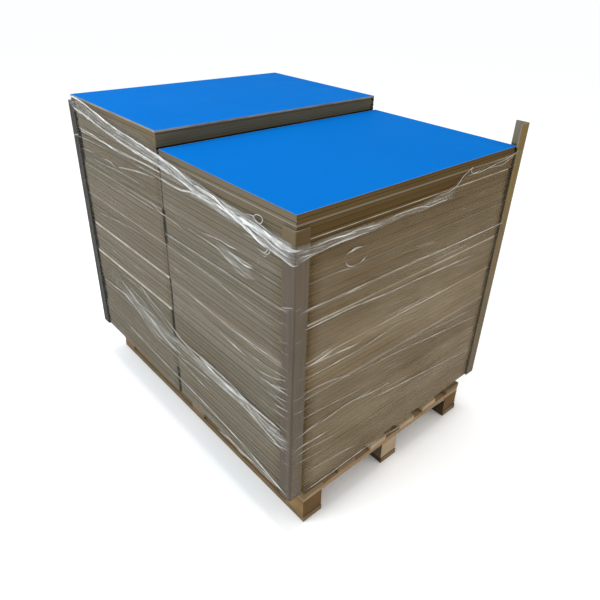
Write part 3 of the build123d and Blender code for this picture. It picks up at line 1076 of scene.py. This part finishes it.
folds = {
    # half width in mm, how milky, and the places of every fold that shows, in mm, s and z by turns
    "shown": [
        (5.0, 0.95, -462, 391, -356, 379, -249, 373, -186, 374),
        (2.2, 0.75, -637, 420, -549, 394, -441, 395, -282, 391, -205, 379, -128, 380, -42, 379),
        (2.0, 0.6, -292, 396, -186, 378, -91, 380, -37, 380),
        (2.6, 0.6, -367, 348, -199, 349, -102, 327, -12, 310),
        (2.0, 0.55, -847, 484, -736, 449, -637, 420, -494, 380, -370, 378),
        (1.6, 0.45, -808, 456, -680, 410, -570, 378, -443, 350, -317, 344),
        (1.5, 0.5, -729, 372, -639, 365, -558, 377),
        (1.5, 0.5, -844, 325, -735, 303, -628, 302, -493, 285, -396, 279),
        (1.5, 0.55, -556, 293, -512, 286),
        (1.6, 0.45, -593, 314, -476, 325, -392, 328),
        (1.6, 0.5, -258, 356, -177, 337, -100, 323, -45, 319),
        (1.5, 0.55, -176, 369, -119, 348, -54, 335),
        (1.5, 0.5, -215, 380, -128, 364, -28, 366),
        (1.4, 0.45, -157, 347, -91, 322, -27, 310),
        (2.2, 1, -990, 232, -714, 214, -476, 204, -271, 187, -165, 174, -43, 150, -6, 146),
        (1.8, 0.9, -360, 146, -273, 150, -219, 146, -140, 151, -43, 146),
        (1.7, 0.9, -309, 559, -250, 551, -193, 544),
        (1.5, 0.7, -147, 528, -80, 544, -18, 571),
        (1.5, 0.7, -136, 509, -69, 523, -12, 545),
        (1.5, 0.8, -102, 512, -48, 522, -12, 528),
        (1.5, 0.8, -91, 484, -50, 493, -11, 503),
        (1.5, 0.8, -80, 456, -40, 464, -5, 473),
        (1.8, 1, -114, 333, -57, 345, -8, 362),
        (1.8, 1, -114, 308, -56, 314, -7, 332),
        (1.3, 0.85, -52, 780, -24, 793, 4, 804),
        (1.2, 0.75, -51, 736, -22, 748),
        (1.2, 0.75, -60, 678, -16, 687),
        (1.6, 0.8, -1056, 389, -935, 367, -823, 334, -697, 313),
        (1.6, 0.8, -1021, 439, -850, 386, -692, 337, -609, 320),
        (1.6, 0.8, -850, 386, -759, 367, -675, 336, -558, 328),
        (1.6, 0.85, -562, 293, -515, 288),
        (1.6, 0.85, -487, 324, -396, 328),
        (1.6, 0.6, -1178, 363, -908, 388, -717, 400),
        (1.6, 0.6, -372, 139, -260, 143, -205, 142, -103, 141, -38, 145),
        (3.0, 0.7, -290, 152, -246, 138, -208, 138),
        (1.4, 0.45, -255, 175, -171, 164, -71, 167),
        (1.3, 0.4, -443, 164, -359, 158, -289, 162),
        (1.5, 0.42, -546, 735, -367, 731, -280, 725, -194, 715, -63, 714),
        (1.8, 0.55, -490, 614, -378, 607, -287, 604, -168, 605, -33, 611),
        (1.5, 0.6, -342, 558, -268, 552, -193, 546),
        (1.4, 0.4, -198, 598, -113, 600, -13, 604),
        (1.4, 0.4, -176, 563, -91, 569, -16, 579),
        (1.6, 0.55, -272, 852, -216, 848, -173, 848, -148, 850),
        (1.4, 0.5, -280, 830, -235, 822, -182, 815, -140, 816),
        (1.4, 0.45, -313, 835, -267, 830, -204, 823),
        (1.4, 0.45, -263, 807, -218, 805, -174, 804),
        (1.3, 0.35, -139, 845, -91, 840, -41, 841),
        (1.3, 0.4, -477, 576, -425, 572, -382, 569),
        (2.4, 0.7, -613, 957, -556, 954, -493, 954, -439, 963, -395, 964, -352, 965, -316, 965),
        (2.4, 0.72, -1198, 984, -1058, 980, -890, 969, -740, 972),
        (1.5, 0.6, -770, 972, -736, 974, -664, 978, -636, 978),
        (1.2, 0.8, -1269, 938, -1230, 947, -1191, 956),
        (1.4, 0.55, -1190, 907, -1130, 912, -1080, 917),
        (1.6, 0.6, -1018, 913, -947, 915, -902, 900),
        (1.8, 0.65, -898, 913, -783, 932, -700, 942, -636, 948),
        (1.6, 0.65, -694, 860, -635, 842, -597, 838, -546, 836, -490, 831),
        (1.6, 0.75, -474, 845, -434, 844, -395, 842, -357, 841, -308, 837, -285, 828, -251, 819, -228, 817),
        (1.4, 0.65, -393, 858, -306, 868, -260, 867, -226, 870, -210, 865),
        (2.0, 0.9, -283, 858, -261, 849, -227, 844, -194, 839, -147, 846),
        (1.2, 0.45, -147, 848, -136, 870, -133, 889, -130, 907),
        (1.2, 0.75, -202, 928, -170, 929, -140, 931),
        (1.5, 0.4, -771, 957, -644, 956, -529, 946),
        (1.4, 0.4, -1239, 945, -1113, 952, -966, 955),
        (1.4, 0.38, -1093, 887, -892, 898, -687, 896),
        (1.5, 0.4, -924, 839, -800, 838, -660, 838),
        (1.4, 0.35, -1123, 673, -948, 697, -759, 712),
        (1.4, 0.35, -1059, 542, -908, 553, -758, 552),
        (1.5, 0.45, -1013, 466, -889, 469, -778, 458, -668, 437),
        (1.4, 0.45, -976, 447, -860, 427, -752, 403),
        (1.5, 0.5, -126, 520, -69, 518, -15, 523),
        (1.6, 0.55, -109, 485, -60, 482, -10, 482),
        (1.6, 0.55, -91, 439, -51, 438, -9, 443),
        (1.5, 0.45, -68, 396, -33, 396, -3, 397),
        (1.3, 0.4, -78, 526, -44, 524, -7, 525),
        (1.3, 0.4, -58, 654, -34, 652, -10, 657),
        (1.4, 0.45, -50, 690, -31, 688, -11, 693),
        (1.5, 0.5, -59, 778, -36, 781, -14, 789),
        (1.3, 0.4, -55, 736, -32, 739, -13, 746),
        (1.5, 0.45, -45, 272, -22, 271, 0, 277),
        (1.6, 0.5, 27, 782, 86, 781, 157, 778, 240, 774),
        (2.0, 0.6, 32, 724, 107, 725, 199, 725, 320, 716, 501, 710, 769, 700),
        (1.7, 0.7, 37, 603, 82, 606, 137, 613, 155, 621),
        (1.5, 0.6, 60, 617, 103, 622, 147, 625),
        (2.0, 0.65, 37, 605, 115, 600, 212, 591, 260, 593),
        (1.6, 0.5, 38, 566, 99, 564, 175, 564, 255, 563, 323, 571, 430, 582),
        (1.4, 0.45, 259, 607, 301, 606, 335, 612),
        (1.5, 0.5, 29, 517, 94, 515, 180, 501, 231, 482),
        (1.5, 0.45, 230, 486, 309, 476, 425, 468, 609, 446, 886, 415),
        (1.5, 0.5, 317, 612, 424, 617, 546, 615, 679, 614),
        (1.5, 0.45, 368, 622, 469, 627, 622, 623),
        (2.2, 0.6, 6, 320, 36, 327, 82, 323, 145, 322),
        (2.0, 0.55, 9, 371, 34, 370, 71, 376, 118, 378),
        (1.6, 0.5, 7, 296, 44, 302, 107, 295, 198, 280),
        (1.5, 0.45, 7, 272, 57, 265, 137, 254),
        (1.7, 0.5, 102, 372, 170, 377, 241, 378, 312, 373),
        (1.6, 0.55, 149, 378, 232, 379, 332, 362, 428, 359),
        (1.7, 0.45, 335, 336, 475, 317, 671, 293, 886, 261),
        (1.4, 0.4, 32, 430, 146, 421, 282, 406),
        (2.0, 0.7, 54, 129, 167, 127, 256, 130, 367, 127, 510, 109, 688, 88, 886, 70),
        (1.5, 0.4, 47, 210, 162, 195, 299, 172),
        (1.4, 0.4, 420, 501, 602, 477, 840, 459),
        (1.4, 0.45, 541, 751, 670, 752, 742, 752),
        (1.4, 0.4, -3, 698, 20, 696, 36, 698),
        (1.4, 0.45, -9, 797, 7, 793, 29, 798),
        (1.4, 0.4, 0, 570, 27, 572, 55, 570),
        (1.4, 0.45, -2, 510, 22, 510, 51, 511),
        (1.4, 0.45, -1, 465, 27, 462, 60, 464),
        (1.3, 0.5, -615, 776, -450, 778, -280, 779, -120, 777, -15, 778),
        (1.4, 0.6, 15, 778, 200, 780, 420, 779, 650, 776, 930, 774),
    ],
    # the sides behind get as many by chance: places and lengths in metres
    "hiddenCount": 26,
    "above": 0.0004,                                 # a fold's foot stands this far above the film
    "hiddenSides": ((1.02, 2.16), (2.27, 3.12)),     # long and short side, from and to, the way round
    "length": (0.20, 0.60),
    "heights": (0.16, 0.96),
    "halfWidth": (0.0012, 0.0022),
    "milk": (0.35, 0.65),
    "seed": 41,
    "shadow": (0.42, 0.41, 0.38),                    # between the fine streaks of a fold
    # whitest streak colour of a fold: milky film, partly a painted highlight
    "whitest": (0.82, 0.81, 0.78),
}

bunch = {
    # pleats, depth in mm, (share of the length, how milky), upper line and lower line
    "bands": [
        (3, 1.4, [(0.0, 0.3), (0.3, 0.45), (0.7, 0.35), (1.0, 0.5)],
         (930, 1024, 958, 1026, 1210, 1014, 1524, 1018, 1840, 1034, 2216, 1046, 2260, 1046),
         (930, 1000, 958, 998, 1210, 984, 1524, 990, 1840, 1008, 2216, 1020, 2260, 1018)),
        (3, 1.4, [(0.0, 0.45), (0.5, 0.35), (1.0, 0.5)],
         (2200, 1046, 2460, 1054, 2695, 1047, 2930, 1064, 3174, 1074),
         (2200, 1020, 2460, 1024, 2695, 1020, 2930, 1034, 3174, 1044)),
        (4, 2.6, [(0.0, 0.2), (0.25, 0.38), (0.5, 0.7), (0.75, 0.66), (1.0, 0.42)],
         (-700, 394, -624, 384, -519, 378, -399, 381, -288, 384, -211, 376, -114, 366, -40, 371, -4, 372),
         (-700, 356, -628, 357, -522, 354, -402, 347, -290, 343, -211, 346, -138, 343, -68, 327, -4, 318)),
        (6, 1.6, [(0.0, 0.08), (0.4, 0.24), (0.8, 0.32), (1.0, 0.2)],
         (-1120, 452, -960, 440, -877, 428, -717, 402, -600, 386),
         (-1120, 405, -935, 362, -823, 332, -697, 311, -560, 318)),
        (4, 1.2, [(0.0, 0.15), (0.5, 0.45), (1.0, 0.15)],
         (-330, 862, -270, 860, -210, 850, -150, 852),
         (-330, 838, -270, 815, -210, 800, -150, 806)),
        (4, 2.4, [(0.0, 0.35), (0.2, 0.45), (0.5, 0.55), (0.8, 0.75), (1.0, 0.8)],
         (-1245, 1080, -1175, 1086, -1113, 1080, -1027, 1070, -923, 1055, -868, 1050, -793, 1045, -708, 1038,
          -621, 1030, -559, 1023, -482, 1010, -430, 1002),
         (-1245, 1052, -1192, 1047, -1128, 1040, -1041, 1026, -957, 1016, -893, 1008, -832, 1001, -766, 995,
          -695, 991, -627, 988, -563, 984, -484, 978, -430, 970)),
        (4, 3, [(0.0, 0.7), (0.3, 1.0), (0.6, 1.25), (0.9, 1.25), (1.0, 0.95)],
         (-520, 1018, -452, 1011, -390, 1003, -331, 997, -275, 991, -221, 988, -169, 987, -120, 980, -73, 973,
          -27, 973, 4, 972),
         (-520, 984, -437, 966, -382, 957, -316, 951, -254, 948, -211, 944, -170, 938, -135, 928, -101, 921,
          -44, 914, 4, 910)),
        (2, 1.2, [(0.0, 0.35), (0.5, 0.6), (1.0, 0.3)],
         (-470, 966, -400, 970, -330, 968, -260, 962, -200, 957),
         (-470, 953, -400, 952, -330, 948, -260, 938, -200, 934)),
        (4, 1.6, [(0.0, 0.55), (0.2, 0.5), (0.5, 0.62), (0.8, 0.55), (1.0, 0.35)],
         (-6, 968, 64, 963, 125, 964, 159, 963, 212, 960, 258, 957, 331, 957, 400, 960),
         (-6, 914, 46, 922, 110, 929, 148, 931, 187, 931, 223, 931, 300, 934, 400, 945)),
        (2, 1.6, [(0.0, 0.4), (0.4, 0.55), (0.8, 0.45), (1.0, 0.2)],
         (360, 958, 436, 958, 494, 964, 564, 966, 603, 975),
         (360, 946, 436, 938, 494, 939, 564, 943, 603, 955)),
    ],
    # radius in mm, how milky, swing in mm, turns per metre, places
    "strands": [
        (3.0, 1, 0.6, 4, -1238, 1086, -1175, 1088, -1113, 1082, -1027, 1070, -923, 1051, -868, 1045,
         -793, 1040),
        (3.2, 1, 0.8, 4, -830, 1044, -793, 1040, -708, 1032, -621, 1026, -559, 1018, -482, 1006, -435, 995,
         -400, 990),
        (4.0, 0.46, 0.8, 3, -1220, 1054, -1128, 1044, -1041, 1031, -957, 1022, -893, 1014, -832, 1007,
         -766, 1001, -695, 998),
        (4.6, 0.52, 1, 3, -800, 1004, -695, 998, -627, 995, -563, 992, -484, 985, -437, 978, -382, 969,
         -330, 966),
        (4.0, 0.95, 1.2, 4, -430, 993, -380, 988, -320, 984, -276, 973, -221, 966, -169, 960, -120, 953,
         -72, 950),
        (6.6, 0.92, 1.2, 3, -225, 970, -169, 967, -130, 966, -101, 961, -72, 958, -27, 955, 0, 956, 24, 957),
        (4.4, 0.95, 1.4, 4, -330, 975, -254, 962, -211, 956, -170, 947, -135, 937, -101, 930, -82, 927),
        (2.6, 0.6, 1.2, 5, -110, 931, -82, 926, -44, 921, -14, 916, 4, 917, 19, 922),
        (1.6, 0.85, 0.8, 6, 45, 948, 85, 951, 126, 952, 168, 951, 194, 954, 231, 950, 290, 943),
        (1.4, 0.8, 0.8, 6, 4, 919, 46, 928, 78, 931, 110, 935, 148, 937, 187, 935, 223, 935, 261, 932),
        (1.0, 0.8, 1, 9, 308, 944, 331, 952, 387, 955, 436, 952, 477, 944, 516, 945, 564, 943, 587, 946),
        (0.9, 0.75, 0.8, 9, 494, 966, 564, 967, 603, 979, 623, 997, 651, 1011, 670, 1021, 664, 1010, 680, 999,
         732, 1002),
        (1.0, 0.85, 0.8, 8, 640, 999, 680, 996, 733, 998, 800, 1005, 842, 1009, 883, 1018, 940, 1026),
        (0.9, 0.75, 0.8, 8, 735, 1000, 775, 998, 833, 997, 866, 1005, 927, 1022),
        (0.8, 0.95, 0, 1, -200, 980, -184, 984, -154, 989, -144, 980, -129, 978, -117, 990, -124, 999,
         -144, 996, -154, 985, -146, 976, -128, 974),
        (0.8, 0.9, 0, 1, -150, 914, -135, 908, -111, 907, -101, 918, -91, 928, -90, 918, -98, 909, -113, 902,
         -128, 898),
        (0.8, 0.8, 0, 1, -126, 918, -112, 912, -104, 902, -114, 896, -124, 903, -118, 914),
        (2.2, 1.3, 0, 1, 160, 886, 167, 895, 182, 899, 200, 902, 232, 898),
        (2.1, 1.3, 0, 1, 208, 851, 222, 857, 239, 867, 243, 876),
        (1.8, 1.1, 0, 1, 164, 884, 164, 874, 172, 861, 190, 853, 208, 851),
    ],
    "crease": 0.35,              # how crinkled a strand is
    "flat": 0.6,                 # its thickness by its width
    # whitest streak colour of the bunched edge: milky film, partly a painted highlight
    "whitest": (0.88, 0.88, 0.86),
    # small puckers of film, painted fully milky as highlights where they catch the light: radius and place
    "glints": [
        (5.0, 248, 945), (4.5, 266, 947), (3.0, 331, 953), (2.6, 387, 952), (3.4, 430, 937), (4.2, 477, 943),
        (3.6, 513, 945), (4.6, 578, 946), (3.4, 595, 946), (2.6, 646, 937), (3.0, 564, 966), (3.2, 603, 979),
        (3.0, 678, 1024), (2.6, 660, 1005), (2.8, 690, 999), (2.6, 46, 941), (2.2, 82, 927), (2.2, 98, 924),
        (2.8, -184, 984), (2.4, -412, 998), (3.0, -696, 1036), (3.0, -680, 1030),
    ],
}

creases = [(width / 1000, milk, pairs(numbers)) for width, milk, *numbers in folds["shown"]]
chance = np.random.default_rng(folds["seed"])
for _ in range(folds["hiddenCount"]):
    length = chance.uniform(*folds["length"])
    first, last = folds["hiddenSides"][len(creases) % 2]
    s = chance.uniform(first, last - length)
    z = chance.uniform(*folds["heights"])
    slope, sag = chance.normal(0, 0.05), chance.normal(0, 0.006)
    places = [
        (s + share * length, z + share * length * slope + 4 * sag * share * (1 - share))
        for share in (0.0, 0.25, 0.5, 0.75, 1.0)
    ]
    creases.append((chance.uniform(*folds["halfWidth"]), chance.uniform(*folds["milk"]), places))
ribs = [foldRib(f"rib{n}", *crease, seed=100 + n) for n, crease in enumerate(creases)]
filmFolds = joinAs("film_folds", ribs)

strands = [
    bunchedStrand(f"strand{n}", radius / 1000, milk, swing / 1000, turns, pairs(numbers), 300 + n)
    for n, (radius, milk, swing, turns, *numbers) in enumerate(bunch["strands"])
]
bands = [
    gatheredBand(f"band{n}", pleats, depth / 1000, milk, pairs(upper), pairs(lower), 500 + n)
    for n, (pleats, depth, milk, upper, lower) in enumerate(bunch["bands"])
]
puckers = []
# each glint is a small pucker painted fully milky: a painted highlight
for n, numbers in enumerate(bunch["glints"]):
    size, s, z = (number / 1000 for number in numbers)
    points = [(s - size * 1.6, z - size * 0.3), (s, z), (s + size * 1.6, z + size * 0.5)]
    puckers.append(foldRib(f"pucker{n}", size * 0.6, 1.0, points, 700 + n, 0.0030))
filmEdge = joinAs("film_bunched_edge", strands + bands + puckers)
print("film folded:", *(f"{piece.name} {len(piece.data.polygons)} faces" for piece in (filmFolds, filmEdge)))


def foldMaterial(name, whitest, across):
    material, tree, shader = newMaterial(name)
    place = coords(tree, "UV")
    fine = useGroup(streakGroup, place, Along=14.0, Across=across, From=0.38, To=0.66)
    glints = noise(place, (60, 6, 1), 3.0, 0.6)
    # fine streaks of milky film, partly a painted highlight, with a painted shadow between them; the glints
    # add painted highlights
    shade = fine["Mask"].span(0.0, 1.0, 0.55, 1.1) * glints.span(0.30, 0.62, 0.75, 1.2)
    plug(shader, {
        "Alpha": attribute(tree, "fade").math("MULTIPLY", shade, clamp=True),
        "Base Color": mixed(fine["Mask"], folds["shadow"], whitest),
        "Roughness": glints.span(0.3, 0.7, 0.16, 0.34),
        "Normal": bump(fine["Height"], 0.7, 0.0010),
        "IOR": film["ior"],
    })
    return material


finishFilm(filmFolds, foldMaterial("foldedFilm", folds["whitest"], 3.0))
finishFilm(filmEdge, foldMaterial("bunchedFilm", bunch["whitest"], 9.0))
